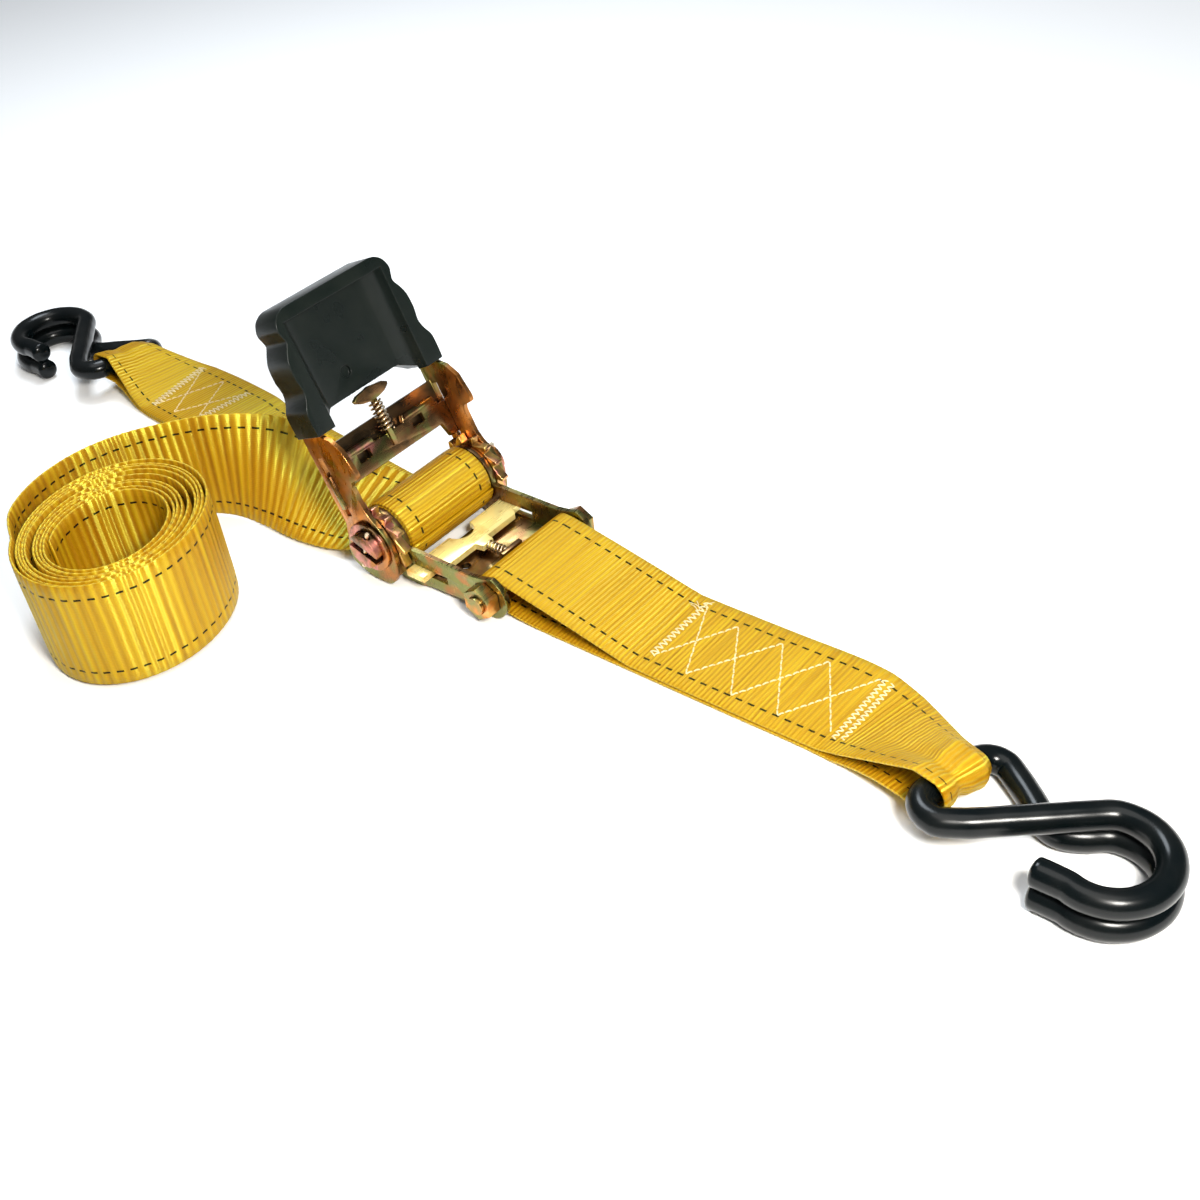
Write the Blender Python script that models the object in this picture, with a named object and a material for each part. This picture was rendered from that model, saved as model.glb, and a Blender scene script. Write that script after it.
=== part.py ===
"""Ratchet tie down for 50 mm webbing, with two double J hooks.

Lengths below are in millimetres and are turned into metres when meshes are made.
Shapes are laid out from a point under the middle of the spindle: X runs along the
straps towards the hook of the short fixed strap, Y along the spindle, and Z is up
from the surface the assembly lies on.  An empty then carries everything so that the
world origin is the centre of the round foot pressed into the frame's floor.
"""
import math

import bpy
import bmesh
from mathutils import Matrix, Vector

MM = 0.001
GAP = 0.3

# Webbing
WEB_WIDTH = 50.0
WEB_THICK = 1.4

# Base frame
SPINDLE_Z = 19.0
FRAME_INNER = 26.0
FRAME_PLATE = 2.5
FRAME_TOP = 17.8
FLOOR_Z = 3.0
FLOOR_THICK = 2.5
FOOT_X = 33.0
FOOT_R = 8.0
BOLT_X = 58.0
BOLT_Z = 10.5
BOLT_R = 4.0

# Spindle
MANDREL_R = 8.0
MANDREL_SLOT = 3.4
MANDREL_HALF = 41.0
SLOT_TILT = math.radians(20)
ROLL_R = 15.5
WHEEL_IN = 29.0
WHEEL_OUT = 33.0
WHEEL_TIP = 17.3
WHEEL_ROOT = 14.0
WHEEL_TEETH = 13

# Handle, measured along U (away from the spindle) and V (towards its open side)
HANDLE_TILT = math.radians(-22)
HANDLE_IN = 33.5
HANDLE_PLATE = 2.2
SIDE_BACK = -10.2
WEB_BACK = -8.8
WEB_PLATE = 1.8
ARM_FRONT = 3.0
ARM_END = 63.0
PAWL_BACK = -6.0
PAWL_PLATE = 2.4
STEM_V = -3.45
GRIP_START = 52.0
GRIP_END = 104.0
GRIP_BACK = -11.4
GRIP_FLOOR = -5.0
GRIP_FRONT = 4.6

# Double J hooks
WIRE_R = 5.1
ROD_LOW = 5.2
ROD_HIGH = 15.6
FIXED_EYE = (262.0, -16.0, 11.6)
FIXED_HEAD = math.radians(-8)
LONG_EYE = (-249.0, 24.0, 11.6)
LONG_HEAD = math.radians(185)
EYE_TILT = math.atan(7.0 / 30.0)
EYE_LOOP = 7.0
EYE_OFFSET = 3.5

for old in list(bpy.data.objects):
    bpy.data.objects.remove(old, do_unlink=True)

PARTS = bpy.data.collections.new("ratchet_tie_down")
CUTTERS = bpy.data.collections.new("cutters")
bpy.context.scene.collection.children.link(PARTS)
bpy.context.scene.collection.children.link(CUTTERS)

ASSEMBLY = bpy.data.objects.new("assembly_origin", None)
ASSEMBLY.location = (-FOOT_X * MM, 0.0, 0.0)
PARTS.objects.link(ASSEMBLY)


def material(name, color, roughness, metallic):
    mat = bpy.data.materials.new(name)
    mat.use_nodes = True
    shader = mat.node_tree.nodes["Principled BSDF"]
    shader.inputs["Base Color"].default_value = (*color, 1.0)
    shader.inputs["Roughness"].default_value = roughness
    shader.inputs["Metallic"].default_value = metallic
    mat.diffuse_color = (*color, 1.0)
    return mat


PLATED = material("gold_zinc_plate", (0.80, 0.60, 0.18), 0.28, 1.0)
PLATED_BRIGHT = material("bright_gold_zinc", (0.92, 0.74, 0.22), 0.22, 1.0)
SPRING = material("spring_steel", (0.55, 0.52, 0.45), 0.25, 1.0)
WEBBING = material("yellow_webbing", (0.95, 0.62, 0.02), 0.75, 0.0)
BLACK_GRIP = material("black_grip", (0.012, 0.011, 0.010), 0.38, 0.0)
BLACK_COAT = material("black_vinyl_coat", (0.008, 0.008, 0.008), 0.22, 0.0)


def add(name, mesh, mat=None, cutter=False):
    obj = bpy.data.objects.new(name, mesh)
    if mat is not None:
        mesh.materials.append(mat)
    if cutter:
        CUTTERS.objects.link(obj)
        obj.hide_render = True
        obj.display_type = "WIRE"
    else:
        PARTS.objects.link(obj)
    obj.parent = ASSEMBLY
    return obj


def place(obj, origin=(0.0, 0.0, 0.0), tilt=0.0):
    """Put an object modelled about its own origin at `origin`, turned about Y."""
    obj.location = [c * MM for c in origin]
    obj.rotation_euler = (0.0, tilt, 0.0)
    return obj


def box(name, x, y, z, mat=None, cutter=False):
    bm = bmesh.new()
    bmesh.ops.create_cube(bm, size=1.0)
    size = Vector((x[1] - x[0], y[1] - y[0], z[1] - z[0])) * MM
    mid = Vector((x[0] + x[1], y[0] + y[1], z[0] + z[1])) * (0.5 * MM)
    bmesh.ops.transform(bm, matrix=Matrix.Translation(mid) @ Matrix.Diagonal((*size, 1.0)), verts=bm.verts)
    mesh = bpy.data.meshes.new(name)
    bm.to_mesh(mesh)
    bm.free()
    return add(name, mesh, mat, cutter)


def rod(name, centre, axis, radius, length, mat=None, cutter=False, sides=32):
    bm = bmesh.new()
    bmesh.ops.create_cone(bm, cap_ends=True, segments=sides, radius1=radius * MM,
                          radius2=radius * MM, depth=length * MM)
    turn = Vector((0, 0, 1)).rotation_difference(Vector(axis)).to_matrix().to_4x4()
    bmesh.ops.transform(bm, matrix=Matrix.Translation(Vector(centre) * MM) @ turn, verts=bm.verts)
    mesh = bpy.data.meshes.new(name)
    bm.to_mesh(mesh)
    bm.free()
    return add(name, mesh, mat, cutter)


def arc(cx, cy, radius, start, end, steps):
    """Points on an arc, angles in degrees, both ends included."""
    points = []
    for i in range(steps + 1):
        a = math.radians(start + (end - start) * i / steps)
        points.append((cx + radius * math.cos(a), cy + radius * math.sin(a)))
    return points


def plate(name, outline, axes, start, thick, mat=None, cutter=False):
    """A flat outline extruded along the axis left over from `axes`."""
    data = bpy.data.curves.new(name, "CURVE")
    data.dimensions = "2D"
    data.fill_mode = "BOTH"
    data.extrude = 0.5 * thick * MM
    spline = data.splines.new("POLY")
    spline.points.add(len(outline) - 1)
    for point, (a, b) in zip(spline.points, outline):
        point.co = (a * MM, b * MM, 0.0, 1.0)
    spline.use_cyclic_u = True
    curve = bpy.data.objects.new(name + "_outline", data)
    CUTTERS.objects.link(curve)
    first = Vector([1.0 if c == axes[0] else 0.0 for c in "xyz"])
    second = Vector([1.0 if c == axes[1] else 0.0 for c in "xyz"])
    normal = first.cross(second)
    middle = start + 0.5 * thick
    rest = [c for c in "xyz" if c not in axes][0]
    shift = Vector([middle * MM if c == rest else 0.0 for c in "xyz"])
    turn = Matrix((first, second, normal)).transposed().to_4x4()
    curve.matrix_world = Matrix.Translation(shift) @ turn
    bpy.context.view_layer.update()
    graph = bpy.context.evaluated_depsgraph_get()
    mesh = bpy.data.meshes.new_from_object(curve.evaluated_get(graph))
    mesh.transform(curve.matrix_world)
    bpy.data.objects.remove(curve, do_unlink=True)
    bm = bmesh.new()
    bm.from_mesh(mesh)
    bmesh.ops.remove_doubles(bm, verts=bm.verts, dist=0.000001)
    bmesh.ops.recalc_face_normals(bm, faces=bm.faces)
    bm.to_mesh(mesh)
    bm.free()
    mesh.materials.clear()
    return add(name, mesh, mat, cutter)


def combine(obj, other, operation):
    mod = obj.modifiers.new(operation.lower() + "_" + other.name, "BOOLEAN")
    mod.operation = operation
    mod.object = other
    mod.solver = "EXACT"


def cut(obj, *others):
    for other in others:
        combine(obj, other, "DIFFERENCE")


def fuse(obj, *others):
    for other in others:
        combine(obj, other, "UNION")


def pivot(obj, origin):
    """Put an object's own origin on its joint axis and leave its shape where it is."""
    obj.data.transform(Matrix.Translation(Vector(origin) * -MM))
    obj.location = [c * MM for c in origin]
    return obj


def wire(name, points, radius, mat, sides=2):
    """A round wire through the given points, with welded end caps."""
    data = bpy.data.curves.new(name, "CURVE")
    data.dimensions = "3D"
    data.bevel_depth = radius * MM
    data.bevel_resolution = sides
    data.use_fill_caps = True
    spline = data.splines.new("POLY")
    spline.points.add(len(points) - 1)
    for point, co in zip(spline.points, points):
        point.co = (co[0] * MM, co[1] * MM, co[2] * MM, 1.0)
    curve = bpy.data.objects.new(name + "_path", data)
    CUTTERS.objects.link(curve)
    bpy.context.view_layer.update()
    graph = bpy.context.evaluated_depsgraph_get()
    mesh = bpy.data.meshes.new_from_object(curve.evaluated_get(graph))
    bpy.data.objects.remove(curve, do_unlink=True)
    bm = bmesh.new()
    bm.from_mesh(mesh)
    bmesh.ops.remove_doubles(bm, verts=bm.verts, dist=0.000001)
    bmesh.ops.recalc_face_normals(bm, faces=bm.faces)
    bm.to_mesh(mesh)
    bm.free()
    mesh.materials.clear()
    return add(name, mesh, mat)


def smooth_path(points, per_span):
    """Catmull-Rom spline through points of any dimension."""
    result = []
    count = len(points)
    for i in range(count - 1):
        p0 = points[max(i - 1, 0)]
        p1 = points[i]
        p2 = points[i + 1]
        p3 = points[min(i + 2, count - 1)]
        for k in range(per_span):
            t = k / per_span
            result.append(tuple(
                0.5 * (2 * b + (c - a) * t + (2 * a - 5 * b + 4 * c - d) * t * t
                       + (3 * b - a - 3 * c + d) * t * t * t)
                for a, b, c, d in zip(p0, p1, p2, p3)))
    result.append(tuple(points[-1]))
    return result


def ribbon(name, stations, thick, mat, closed=False):
    """Webbing lofted along stations of (left edge, right edge) points."""
    count = len(stations)
    mids = [(Vector(a) + Vector(b)) * 0.5 for a, b in stations]
    bm = bmesh.new()
    rings = []
    for i, (left, right) in enumerate(stations):
        ahead = mids[(i + 1) % count] if closed or i < count - 1 else mids[i]
        behind = mids[i - 1] if closed or i > 0 else mids[i]
        along = (ahead - behind).normalized()
        across = (Vector(right) - Vector(left)).normalized()
        normal = along.cross(across).normalized() * (0.5 * thick)
        corners = [Vector(left) + normal, Vector(right) + normal,
                   Vector(right) - normal, Vector(left) - normal]
        rings.append([bm.verts.new(c * MM) for c in corners])
    spans = count if closed else count - 1
    for i in range(spans):
        here = rings[i]
        there = rings[(i + 1) % count]
        for k in range(4):
            n = (k + 1) % 4
            bm.faces.new((here[k], here[n], there[n], there[k]))
    if not closed:
        bm.faces.new(rings[0])
        bm.faces.new(rings[-1])
    bmesh.ops.recalc_face_normals(bm, faces=bm.faces)
    mesh = bpy.data.meshes.new(name)
    bm.to_mesh(mesh)
    bm.free()
    return add(name, mesh, mat)


# ---------------------------------------------------------------- base frame
def base_frame():
    outline = arc(0, SPINDLE_Z, 13.5, -5, 246, 28)
    outline += [(2, 4.6), (8, 1.2), (12, 0.0), (18, 0.0), (24, 1.6), (44, 2.6)]
    outline += arc(BOLT_X, BOLT_Z, 10.5, 232, 430, 20)
    outline += [(56, FRAME_TOP + 0.9), (50, FRAME_TOP)]
    frame = plate("base_frame", outline, "xz", FRAME_INNER, FRAME_PLATE, PLATED)
    near = plate("frame_near_side", outline, "xz", -FRAME_INNER - FRAME_PLATE, FRAME_PLATE, cutter=True)
    floor = box("frame_floor", (15, 48.3), (-FRAME_INNER - 1, FRAME_INNER + 1),
                (FLOOR_Z, FLOOR_Z + FLOOR_THICK), cutter=True)
    stop = box("frame_spring_stop", (45.4, 47.6), (-6, 6), (FLOOR_Z + 1, 13.4), cutter=True)
    foot = rod("frame_foot", (FOOT_X, 0, 2.0), (0, 0, 1), FOOT_R, 4.0, cutter=True, sides=40)
    fuse(frame, near, floor, stop, foot)
    spindle_hole = rod("frame_spindle_hole", (0, 0, SPINDLE_Z), (0, 1, 0), MANDREL_R + 0.4, 80, cutter=True)
    bolt_hole = rod("frame_bolt_hole", (BOLT_X, 0, BOLT_Z), (0, 1, 0), BOLT_R + GAP, 80, cutter=True)
    pawl_slot = box("frame_pawl_slot", (14.2, 35.4), (-40, 40), (7.2, 10.8), cutter=True)
    hole_a = rod("frame_hole_near", (31, -13, 4), (0, 0, 1), 2.2, 12, cutter=True, sides=20)
    hole_b = rod("frame_hole_far", (43, -9, 4), (0, 0, 1), 1.8, 12, cutter=True, sides=20)
    pressing = rod("frame_pressing", (FOOT_X, 0, 5.2), (0, 0, 1), FOOT_R - 2.5, 3.0, cutter=True, sides=40)
    cut(frame, spindle_hole, bolt_hole, pawl_slot, hole_a, hole_b, pressing)
    return frame


def anchor_bolt():
    bolt = rod("anchor_bolt", (BOLT_X, -0.9, BOLT_Z), (0, 1, 0), BOLT_R, 70.8, PLATED, sides=28)
    head = rod("bolt_head", (BOLT_X, 31.2, BOLT_Z), (0, 1, 0), 7.5, 4.8, cutter=True, sides=6)
    fuse(bolt, head)
    nut = rod("anchor_nut", (BOLT_X, -31.9, BOLT_Z), (0, 1, 0), 7.5, 6.2, PLATED, sides=6)
    hole = rod("nut_hole", (BOLT_X, -31.9, BOLT_Z), (0, 1, 0), BOLT_R + GAP, 12, cutter=True, sides=28)
    cut(nut, hole)
    return bolt, nut


def lock_pawl():
    """Flat plate that slides on the frame floor towards the wheels."""
    tip = 15.8
    outline = [(tip, -33.2)] + [(tip, -7.5)]
    outline += [(x, y) for x, y in arc(tip, 0, 6.5, -90, 90, 12)]
    outline += [(tip, 7.5), (tip, 33.2), (26, 33.2), (26, 24), (29, 22), (29, 4), (33, 3.2)]
    outline += [(33, -3.2), (29, -4), (29, -22), (26, -24), (26, -33.2)]
    pawl = plate("lock_pawl", outline, "xy", 7.5, 3.0, PLATED_BRIGHT)
    guide = rod("pawl_spring_pin", (34.2, 0, 9.0), (1, 0, 0), 1.3, 5.0, cutter=True, sides=16)
    pivot(pawl, (26, 0, 9))
    fuse(pawl, guide)
    return pawl


def coil_spring(name, start, axis, length, radius, wire_radius, turns):
    ahead = Vector(axis).normalized()
    side = ahead.orthogonal().normalized()
    other = ahead.cross(side)
    steps = 10 * turns
    points = []
    for i in range(steps + 1):
        a = 2 * math.pi * turns * i / steps
        p = Vector(start) + ahead * (length * i / steps)
        p += side * (radius * math.cos(a)) + other * (radius * math.sin(a))
        points.append(tuple(p))
    return wire(name, points, wire_radius, SPRING, sides=1)


# ---------------------------------------------------------------- spindle
def spindle():
    slot = (math.cos(SLOT_TILT), -math.sin(SLOT_TILT))
    pieces = []
    for name, side in (("spindle_upper_half", 1), ("spindle_lower_half", -1)):
        half = rod(name, (0, 0, 0), (0, 1, 0), MANDREL_R, 2 * MANDREL_HALF, PLATED, sides=40)
        limits = (-20, MANDREL_SLOT / 2) if side > 0 else (-MANDREL_SLOT / 2, 20)
        keep = box(name + "_split", (-20, 20), (-60, 60), limits, cutter=True)
        keep.rotation_euler = (0.0, math.atan2(-slot[1], slot[0]), 0.0)
        keep.location = (0.0, 0.0, SPINDLE_Z * MM)
        place(half, (0, 0, SPINDLE_Z))
        cut(half, keep)
        pieces.append(half)
    for name, y in (("near", -39.3), ("far", 39.3)):
        turn = Vector((slot[1], 0, -slot[0]))
        drill = rod("pin_hole_" + name, (0, y, SPINDLE_Z), turn, 1.5, 40, cutter=True, sides=12)
        cut(pieces[0], drill)
        cut(pieces[1], drill)
        pin = rod("split_pin_" + name, (0, y, SPINDLE_Z), turn, 1.1, 20.5, SPRING, sides=12)
        pivot(pin, (0, y, SPINDLE_Z))
    for name, y in (("near", -36.85), ("far", 36.85)):
        washer = rod("end_washer_" + name, (0, y, SPINDLE_Z), (0, 1, 0), 11.5, 1.5, PLATED, sides=36)
        bore = rod("washer_bore_" + name, (0, y, SPINDLE_Z), (0, 1, 0), MANDREL_R + GAP, 6,
                   cutter=True, sides=40)
        pivot(washer, (0, y, SPINDLE_Z))
        cut(washer, bore)
    return pieces


def ratchet_wheel(name, start):
    outline = []
    for i in range(WHEEL_TEETH):
        a = 2 * math.pi * i / WHEEL_TEETH
        pitch = 2 * math.pi / WHEEL_TEETH
        outline.append((WHEEL_TIP * math.cos(a), WHEEL_TIP * math.sin(a)))
        outline.append((WHEEL_TIP * math.cos(a + 0.14 * pitch), WHEEL_TIP * math.sin(a + 0.14 * pitch)))
        outline.append((WHEEL_ROOT * math.cos(a + 0.80 * pitch), WHEEL_ROOT * math.sin(a + 0.80 * pitch)))
        outline.append((WHEEL_ROOT * math.cos(a + 0.97 * pitch), WHEEL_ROOT * math.sin(a + 0.97 * pitch)))
    wheel = plate(name, outline, "xz", start, WHEEL_OUT - WHEEL_IN, PLATED)
    place(wheel, (0, 0, SPINDLE_Z))
    bore = rod(name + "_bore", (0, start + 2, SPINDLE_Z), (0, 1, 0), MANDREL_R + GAP, 12,
               cutter=True, sides=40)
    cut(wheel, bore)
    return wheel


def wound_webbing():
    """The layers on the spindle, joined through the slot between its halves."""
    roll = rod("wound_webbing", (0, 0, 0), (0, 1, 0), ROLL_R, WEB_WIDTH - 0.4, WEBBING, sides=48)
    place(roll, (0, 0, SPINDLE_Z))
    core = rod("roll_core", (0, 0, SPINDLE_Z), (0, 1, 0), MANDREL_R + GAP, 80, cutter=True, sides=40)
    through = box("roll_through", (-9, 9), (-WEB_WIDTH / 2 + 0.4, WEB_WIDTH / 2 - 0.4),
                  (-WEB_THICK, WEB_THICK), cutter=True)
    place(through, (0, 0, SPINDLE_Z), SLOT_TILT)
    cut(roll, core)
    fuse(roll, through)
    return roll


# ---------------------------------------------------------------- handle, in its own U-V frame
def handle_side_outline():
    """Side plate as (V, U) points: hub with its cam, neck, shoulder and the arm inside the grip."""
    cam = [(-13.2, 5.5), (-16.8, 0.0), (-18.4, -4.6), (-17.3, -8.6), (-13.4, -12.6), (-8.0, -16.2),
           (-1.8, -18.7), (2.4, -18.6), (5.8, -16.2), (9.8, -10.8), (12.0, -5.0), (12.4, 0.5), (11.2, 6.4)]
    outline = smooth_path(cam, 2)
    outline += [(8.2, 12.5), (7.0, 17), (7.0, 27.5), (8.2, 29.8), (13.6, 31.0)]
    outline += [(14.2, 33.4), (12.0, 44), (7.6, 49.2), (ARM_FRONT, 51.4), (ARM_FRONT, ARM_END - 3)]
    outline += [(ARM_FRONT - 3, ARM_END), (SIDE_BACK + 3, ARM_END), (SIDE_BACK, ARM_END - 3), (SIDE_BACK, 11.5)]
    return outline


def handle_frame():
    outline = handle_side_outline()
    frame = plate("handle_frame", outline, "xz", HANDLE_IN, HANDLE_PLATE, PLATED)
    near = plate("handle_near_side", outline, "xz", -HANDLE_IN - HANDLE_PLATE, HANDLE_PLATE, cutter=True)
    reach = HANDLE_IN + 1
    back = box("handle_cross_plate", (WEB_BACK, WEB_BACK + WEB_PLATE), (-reach, reach), (27, 43.6), cutter=True)
    bore = rod("handle_bore", (0, 0, 0), (0, 1, 0), MANDREL_R + 0.4, 90, cutter=True, sides=40)
    slot = box("handle_pawl_slot", (PAWL_BACK - GAP, PAWL_BACK + PAWL_PLATE + GAP), (-45, 45), (14.5, 42),
               cutter=True)
    for obj in (frame, near, back, bore, slot):
        place(obj, (0, 0, SPINDLE_Z), HANDLE_TILT)
    fuse(frame, near, back)
    cut(frame, bore, slot)
    return frame


def grip_side():
    """Scalloped edge of the grip as (half width, U) points, from foot to top."""
    knots = [(37.0, GRIP_START), (37.2, 59), (36.8, 63.4), (34.8, 67), (33.6, 71.4), (34.4, 77), (34.0, 83.5),
             (32.3, 87.6), (30.4, 91), (30.9, 93.6), (31.7, 96.4), (31.0, 99.2), (29.4, 101.6), (26.6, 103.4),
             (24.0, GRIP_END)]
    return smooth_path(knots, 3)


def grip_channel():
    """Open hollow along the middle of the grip as (V, half width) points, floor to rim."""
    return [(GRIP_FLOOR, 17.0), (GRIP_FLOOR + 0.7, 20.8), (-2.2, 24.2), (1.0, 26.4), (5.0, 27.6), (20.0, 28.6)]


def handle_grip():
    """Moulded grip with scalloped sides and a hollow middle, slid over the handle arms."""
    right = grip_side()
    outline = right + [(-y, u) for y, u in reversed(right)]
    grip = plate("handle_grip", outline, "yz", GRIP_BACK, GRIP_FRONT - GRIP_BACK, BLACK_GRIP)
    wall = grip_channel()
    section = wall + [(v, -y) for v, y in reversed(wall)]
    hollow = plate("grip_hollow", section, "xy", GRIP_START - 5, 98.5 - GRIP_START + 5, cutter=True)
    deep = (SIDE_BACK - GAP, ARM_FRONT + GAP)
    arm_near = box("grip_arm_near", deep, (-36.0, -33.2), (GRIP_START - 2, ARM_END + GAP), cutter=True)
    arm_far = box("grip_arm_far", deep, (33.2, 36.0), (GRIP_START - 2, ARM_END + GAP), cutter=True)
    foot = [(29.5, GRIP_START - 3), (29.5, 51.2), (25.6, 54.0), (20.0, 57.5)]
    foot += [(-y, u) for y, u in reversed(foot)]
    window = plate("grip_window", foot, "yz", -20, 20, cutter=True)
    dimple = rod("grip_dimple", (GRIP_FLOOR, -5, 67), (1, 0, 0), 2.6, 3.0, cutter=True, sides=24)
    for obj in (grip, hollow, arm_near, arm_far, window, dimple):
        place(obj, (0, 0, SPINDLE_Z), HANDLE_TILT)
    cut(grip, hollow, arm_near, arm_far, window, dimple)
    return grip


def drive_pawl():
    """Plate in the handle slots, with a stem and a winged finger tab to pull it back."""
    half = [(0, 35.4), (8.5, 35.4), (9.5, 38.4), (28, 38.4), (30, 33.5), (36.8, 33.5), (36.8, 18.1), (29, 18.1)]
    half += [(27, 25.0), (0, 25.0)]
    outline = half + [(-y, u) for y, u in reversed(half[1:-1])]
    pawl = plate("drive_pawl", outline, "yz", PAWL_BACK, PAWL_PLATE, PLATED_BRIGHT)
    front = PAWL_BACK + PAWL_PLATE
    lip_near = box("pawl_lip_near", (front - 1, front + 1.1), (-27, -10), (36.4, 38.4), cutter=True)
    lip_far = box("pawl_lip_far", (front - 1, front + 1.1), (10, 27), (36.4, 38.4), cutter=True)
    hole_near = box("pawl_hole_near", (-12, 0), (-19.8, -12.6), (30.6, 34.8), cutter=True)
    hole_far = box("pawl_hole_far", (-12, 0), (12.6, 19.8), (30.6, 34.8), cutter=True)
    stem = box("pawl_stem", (STEM_V - 1.25, STEM_V + 1.25), (-1.2, 1.2), (29.5, 53), cutter=True)
    wing = [(0, 51.0), (2.6, 51.2), (6.2, 51.9), (9.2, 53.4), (9.8, 54.8), (7.2, 56.2), (3.0, 56.7), (0, 57.2)]
    wing += [(-y, u) for y, u in reversed(wing[1:-1])]
    tab = plate("pawl_finger_tab", wing, "yz", STEM_V - 1.25, 2.5, cutter=True)
    for obj in (pawl, lip_near, lip_far, hole_near, hole_far, stem, tab):
        place(obj, (0, 0, SPINDLE_Z), HANDLE_TILT)
    fuse(pawl, lip_near, lip_far, stem, tab)
    cut(pawl, hole_near, hole_far)
    return pawl


def drive_spring():
    turn = Matrix.Rotation(HANDLE_TILT, 4, "Y")
    start = turn @ Vector((STEM_V, 0, 36.4)) + Vector((0, 0, SPINDLE_Z))
    axis = turn @ Vector((0, 0, 1))
    return coil_spring("drive_spring", start, axis, 13.8, 2.75, 0.45, 7)


# ---------------------------------------------------------------- hooks
def hook_plan():
    """Centre line of the bent wire, as (L, T, height) points from tip to tip."""
    bowl = arc(59, 3, 18.5, 100, -112, 26)
    upper = [(46, 22.6, ROD_HIGH), (51, 21.8, ROD_HIGH)] + [(a, b, ROD_HIGH) for a, b in bowl]
    shank = [(45.5, -8.4), (39, -1.6), (33, 4.6), (27, 10.8), (22, 16), (18, 20)]
    upper += [(a, b, ROD_HIGH) for a, b in shank]
    corner = arc(8.5, 17, 8.5, 70, 180, 7)
    upper += [(a, b, 15.5 - 0.4 * i / 7) for i, (a, b) in enumerate(corner)]
    bar = [(0.0, 10.0), (0.0, 2.0), (0.0, -5.0)]
    middle = [(a, b, FIXED_EYE[2] + (b - 2.0) * math.tan(EYE_TILT)) for a, b in bar]
    far_corner = arc(7.5, -10.5, 7.5, 180, 285, 7)
    lower = [(a, b, 8.6 - 2.8 * i / 7) for i, (a, b) in enumerate(far_corner)]
    lower += [(16, -14.6, ROD_LOW), (23, -10.5, ROD_LOW), (31, -5.2, ROD_LOW)]
    lower += [(38, -3.4, ROD_LOW), (45.5, -8.4, ROD_LOW)]
    lower += [(a, b, ROD_LOW) for a, b in reversed(bowl)]
    lower += [(51, 21.8, ROD_LOW), (46, 22.6, ROD_LOW)]
    return upper + middle + lower


def hook_to_world(eye, heading, a, b, z):
    """L runs along the heading and T towards -Y, for a hook pointing either way."""
    along = (math.cos(heading), math.sin(heading))
    flip = 1.0 if along[0] > 0 else -1.0
    across = (flip * along[1], -flip * along[0])
    return (eye[0] + along[0] * a + across[0] * b, eye[1] + along[1] * a + across[1] * b, z)


def hook(name, eye, heading):
    points = [hook_to_world(eye, heading, a, b, z) for a, b, z in hook_plan()]
    crossbar = hook_to_world(eye, heading, 0, 2, eye[2])
    return pivot(wire(name, points, WIRE_R, BLACK_COAT, sides=3), crossbar)


# ---------------------------------------------------------------- straps
def level_station(x, y, z, width, heading, tilt=0.0):
    """Edges of webbing lying across a heading, with its -Y edge raised by tilt."""
    across = Vector((-math.sin(heading), math.cos(heading) * math.cos(tilt), -math.sin(tilt)))
    half = across * (0.5 * width)
    centre = Vector((x, y, z))
    return tuple(centre - half), tuple(centre + half)


def fixed_strap():
    """Sewn loop from the anchor bolt to the eye of the hook, one closed band."""
    upper = smooth_path([(61.5, 0, 17.6, 50, 0), (80, 0, 13.8, 50, 0), (104, 0, 8.4, 50, 0),
                         (124, 0, 3.7, 50, 0), (132, 0, 2.95, 50, 0), (170, 0, 2.95, 50, 0),
                         (205, 0.2, 2.95, 50, -2), (224, -3.0, 4.5, 46, -10), (243, -11.0, 11.0, 38, -14),
                         (257, -18.0, 18.4, 31, -8)], 4)
    lower = smooth_path([(257, -18.0, 4.9, 31, -8), (243, -11.0, 4.0, 38, -14), (224, -3.0, 1.4, 46, -10),
                         (205, 0.2, 1.1, 50, -2), (170, 0, 1.1, 50, 0), (132, 0, 1.1, 50, 0),
                         (104, 0, 1.1, 50, 0), (80, 0, 1.2, 50, 0), (63.5, 0, 2.9, 50, 0)], 4)
    stations = []
    for x, y, z, width, turn in upper:
        tilt = EYE_TILT * max(0.0, min(1.0, (x - 214) / 40))
        stations.append(level_station(x, y, z, width, math.radians(turn), tilt))
    for a in range(60, -61, -20):
        c = math.cos(math.radians(a))
        s = math.sin(math.radians(a))
        x = FIXED_EYE[0] + EYE_LOOP * c - 0.3
        z = FIXED_EYE[2] + EYE_LOOP * s + 0.35
        y = FIXED_EYE[1] - EYE_OFFSET - 0.14 * EYE_LOOP * c
        stations.append(level_station(x, y, z, 30, math.radians(-8), EYE_TILT))
    for x, y, z, width, turn in lower:
        tilt = EYE_TILT * max(0.0, min(1.0, (x - 222) / 34))
        stations.append(level_station(x, y, z, width, math.radians(turn), tilt))
    for a in range(260, 99, -20):
        x = BOLT_X + 7.7 * math.cos(math.radians(a))
        z = BOLT_Z + 7.7 * math.sin(math.radians(a))
        stations.append(level_station(x, 0, z, 50, 0.0))
    strap = ribbon("fixed_strap", stations, WEB_THICK, WEBBING, closed=True)
    return pivot(strap, (BOLT_X, 0, BOLT_Z))


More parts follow.
